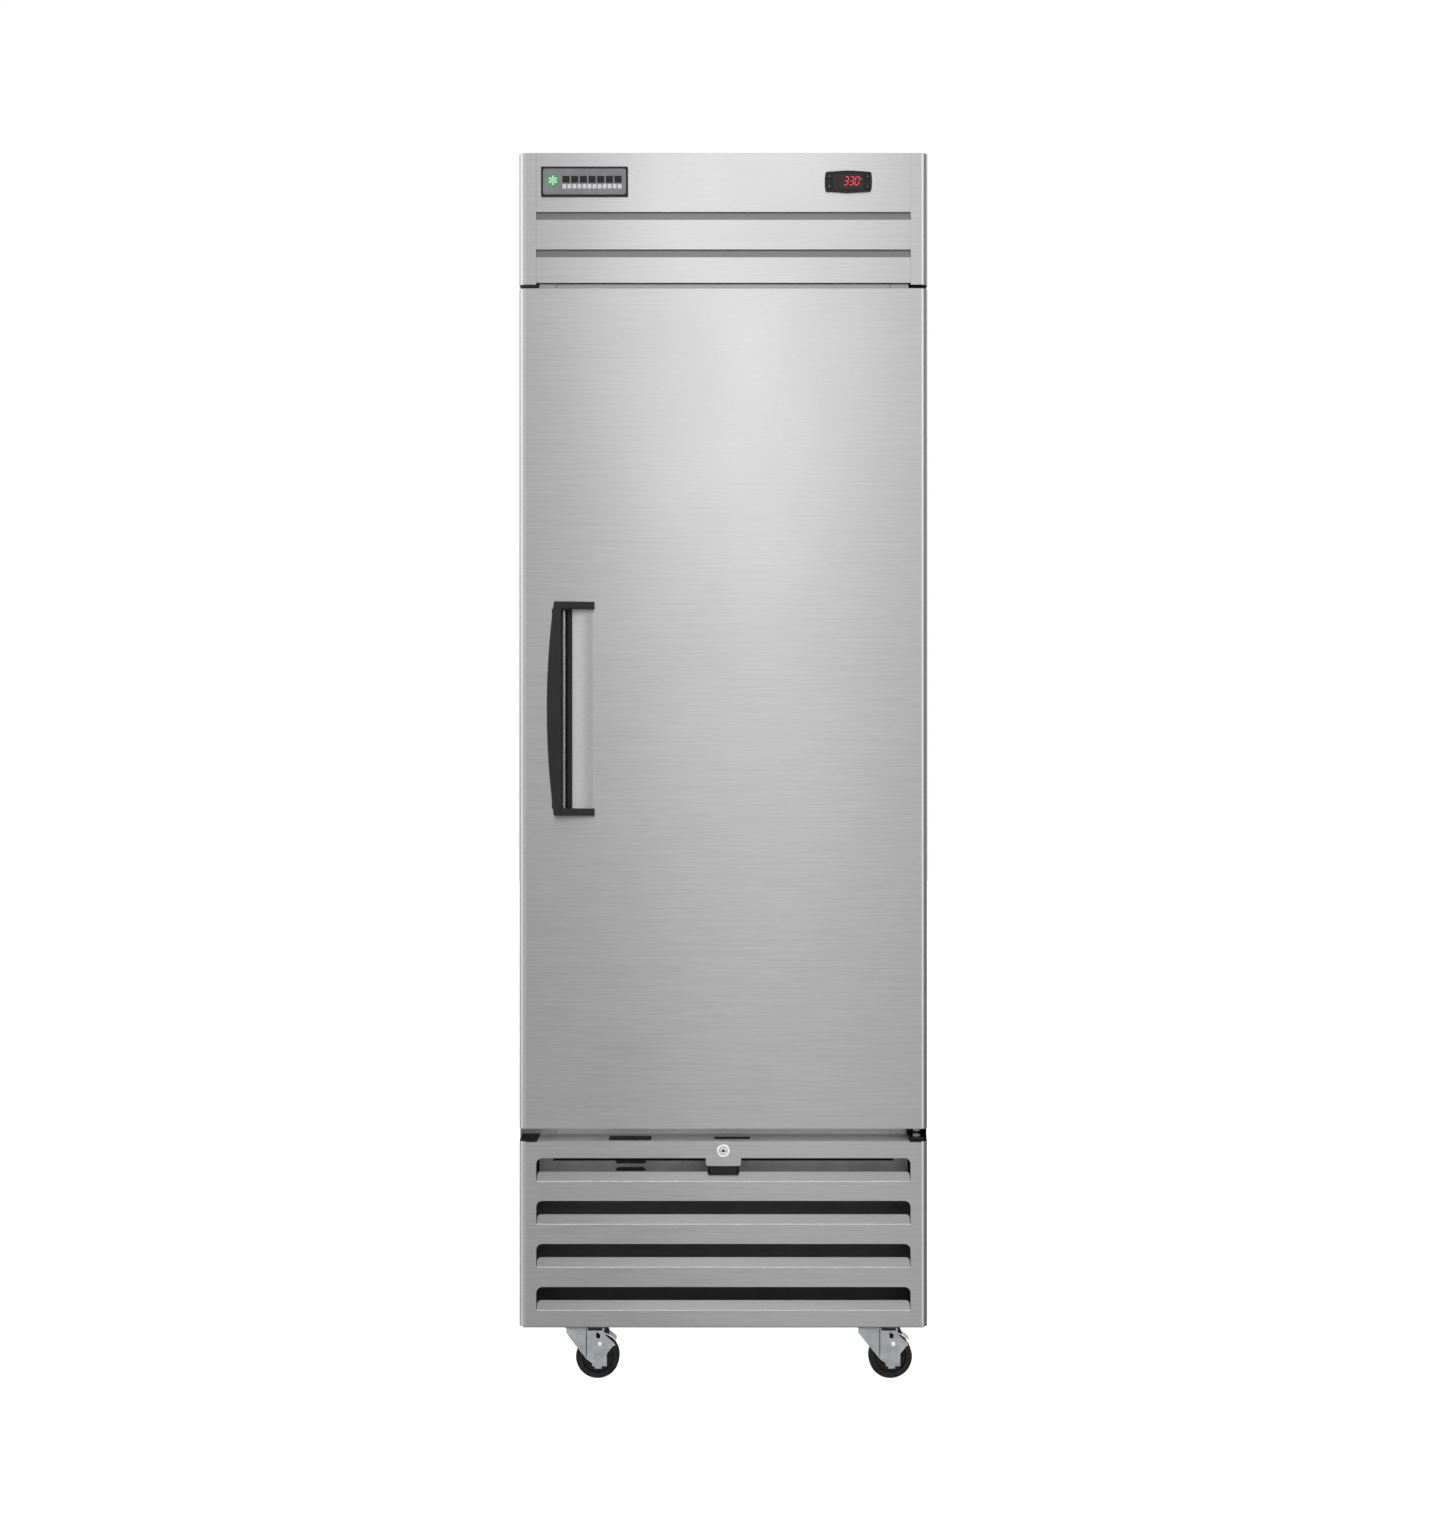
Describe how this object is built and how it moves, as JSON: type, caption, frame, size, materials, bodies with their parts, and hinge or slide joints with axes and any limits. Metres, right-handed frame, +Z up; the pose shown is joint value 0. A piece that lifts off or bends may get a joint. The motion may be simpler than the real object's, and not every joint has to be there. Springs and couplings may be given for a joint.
{
  "type": "reach-in refrigerator",
  "caption": "Upright stainless steel reach-in refrigerator with a solid hinged door, a louvred grille over the machinery below it, wire shelves, a controller in the header, and swivel casters.",
  "frame": {"origin": "on the floor, below the middle of the overall box", "axes": "+Z up, -Y towards the front (the door), +X to the right as seen from the front"},
  "size_m": [0.6984, 0.825, 2.117],
  "materials": {
    "stainless_skin": "stainless steel sheet, fine grain running side to side, satin",
    "stainless_lining": "stainless steel sheet, smooth satin",
    "zinc_plate": "bright zinc-plated steel",
    "coated_wire": "zinc-plated wire with a clear coat",
    "chrome": "polished chrome plating",
    "aluminium": "plain aluminium",
    "black_plastic": "black moulded plastic, fine texture",
    "charcoal_plastic": "charcoal moulded plastic, fine texture",
    "display": "dark red tinted window with lit red digits",
    "black_paint": "black paint, semi-gloss",
    "white_plastic": "white diffusing plastic",
    "gasket_rubber": "dark grey flexible vinyl",
    "wheel_rubber": "black hard rubber",
    "foam": "cream rigid foam"
  },
  "bodies": {
    "cabinet": {"side_panel_left": "stainless_skin", "side_panel_right": "stainless_skin", "back_panel": "stainless_skin", "top_panel": "stainless_skin", "top_rail": "stainless_skin", "bottom_rail": "stainless_skin", "header_panel": "stainless_skin", "grille_panel": "stainless_skin", "ledge_plate": "stainless_skin", "liner_left": "stainless_lining", "liner_right": "stainless_lining", "liner_back": "stainless_lining", "liner_floor": "stainless_lining", "liner_ceiling": "stainless_lining", "evaporator_housing": "stainless_lining", "deck_plate": "zinc_plate", "base_pan": "zinc_plate", "condenser_shroud": "zinc_plate", "caster_plate_front_left": "zinc_plate", "caster_plate_front_right": "zinc_plate", "caster_plate_rear_left": "zinc_plate", "caster_plate_rear_right": "zinc_plate", "shelf_upper": "coated_wire", "shelf_middle": "coated_wire", "shelf_lower": "coated_wire", "lock_body": "chrome", "badge": "aluminium", "condenser_coil": "aluminium", "evaporator_coil": "aluminium", "controller_bezel": "black_plastic", "door_switch_cover": "black_plastic", "power_inlet": "black_plastic", "controller_lens": "display", "hinge_bracket_top": "black_paint", "hinge_bracket_bottom": "black_paint", "compressor": "black_paint", "interior_light": "white_plastic", "insulation_foam": "foam"},
    "door": {"door_skin": "stainless_skin", "door_foam": "foam", "door_inner_panel": "stainless_lining", "door_gasket": "gasket_rubber", "door_handle": "charcoal_plastic"},
    "lock_turning": {"lock_plug": "chrome"},
    "condenser_fan": {"condenser_fan_blade": "aluminium"},
    "evaporator_fan": {"evaporator_fan_blade": "aluminium"},
    "key_defrost": {"button_defrost": "black_plastic"},
    "key_set": {"button_set": "black_plastic"},
    "key_up": {"button_up": "black_plastic"},
    "key_down": {"button_down": "black_plastic"},
    "swivel_front_left": {"caster_fork_front_left": "zinc_plate"},
    "roller_front_left": {"caster_wheel_front_left": "wheel_rubber"},
    "brake_front_left": {"caster_brake_front_left": "zinc_plate"},
    "swivel_front_right": {"caster_fork_front_right": "zinc_plate"},
    "roller_front_right": {"caster_wheel_front_right": "wheel_rubber"},
    "brake_front_right": {"caster_brake_front_right": "zinc_plate"},
    "swivel_rear_left": {"caster_fork_rear_left": "zinc_plate"},
    "roller_rear_left": {"caster_wheel_rear_left": "wheel_rubber"},
    "swivel_rear_right": {"caster_fork_rear_right": "zinc_plate"},
    "roller_rear_right": {"caster_wheel_rear_right": "wheel_rubber"}
  },
  "joints": [
    {"name": "door_hinge", "type": "hinge", "parent": "cabinet", "child": "door", "pos_m": [0.332, -0.3625, 1.1685], "axis": [0, 0, 1], "range_deg": [0, 120]},
    {"name": "lock_turn", "type": "hinge", "parent": "cabinet", "child": "lock_turning", "pos_m": [0, -0.3595, 0.414], "axis": [0, -1, 0], "range_deg": [0, 90]},
    {"name": "condenser_fan_spin", "type": "hinge", "parent": "cabinet", "child": "condenser_fan", "pos_m": [-0.11, -0.1705, 0.265], "axis": [0, 1, 0], "continuous": true},
    {"name": "evaporator_fan_spin", "type": "hinge", "parent": "cabinet", "child": "evaporator_fan", "pos_m": [0, -0.1305, 1.898], "axis": [0, 0, 1], "continuous": true},
    {"name": "press_defrost", "type": "slide", "parent": "cabinet", "child": "key_defrost", "axis": [0, 1, 0], "range_m": [0, 0.0008], "stiffness_N_per_m": 400},
    {"name": "press_set", "type": "slide", "parent": "cabinet", "child": "key_set", "axis": [0, 1, 0], "range_m": [0, 0.0008], "stiffness_N_per_m": 400},
    {"name": "press_up", "type": "slide", "parent": "cabinet", "child": "key_up", "axis": [0, 1, 0], "range_m": [0, 0.0008], "stiffness_N_per_m": 400},
    {"name": "press_down", "type": "slide", "parent": "cabinet", "child": "key_down", "axis": [0, 1, 0], "range_m": [0, 0.0008], "stiffness_N_per_m": 400},
    {"name": "caster_swivel_front_left", "type": "hinge", "parent": "cabinet", "child": "swivel_front_left", "pos_m": [-0.256, -0.2955, 0.095], "axis": [0, 0, 1], "continuous": true},
    {"name": "wheel_roll_front_left", "type": "hinge", "parent": "swivel_front_left", "child": "roller_front_left", "pos_m": [-0.22, -0.2955, 0.038], "axis": [0, 1, 0], "continuous": true},
    {"name": "brake_press_front_left", "type": "hinge", "parent": "swivel_front_left", "child": "brake_front_left", "pos_m": [-0.216, -0.2955, 0.081], "axis": [0, 1, 0], "range_deg": [-8, 4.5]},
    {"name": "caster_swivel_front_right", "type": "hinge", "parent": "cabinet", "child": "swivel_front_right", "pos_m": [0.256, -0.2955, 0.095], "axis": [0, 0, 1], "continuous": true},
    {"name": "wheel_roll_front_right", "type": "hinge", "parent": "swivel_front_right", "child": "roller_front_right", "pos_m": [0.292, -0.2955, 0.038], "axis": [0, 1, 0], "continuous": true},
    {"name": "brake_press_front_right", "type": "hinge", "parent": "swivel_front_right", "child": "brake_front_right", "pos_m": [0.296, -0.2955, 0.081], "axis": [0, 1, 0], "range_deg": [-8, 4.5]},
    {"name": "caster_swivel_rear_left", "type": "hinge", "parent": "cabinet", "child": "swivel_rear_left", "pos_m": [-0.256, 0.3275, 0.095], "axis": [0, 0, 1], "continuous": true},
    {"name": "wheel_roll_rear_left", "type": "hinge", "parent": "swivel_rear_left", "child": "roller_rear_left", "pos_m": [-0.22, 0.3275, 0.038], "axis": [0, 1, 0], "continuous": true},
    {"name": "caster_swivel_rear_right", "type": "hinge", "parent": "cabinet", "child": "swivel_rear_right", "pos_m": [0.256, 0.3275, 0.095], "axis": [0, 0, 1], "continuous": true},
    {"name": "wheel_roll_rear_right", "type": "hinge", "parent": "swivel_rear_right", "child": "roller_rear_right", "pos_m": [0.292, 0.3275, 0.038], "axis": [0, 1, 0], "continuous": true}
  ]
}
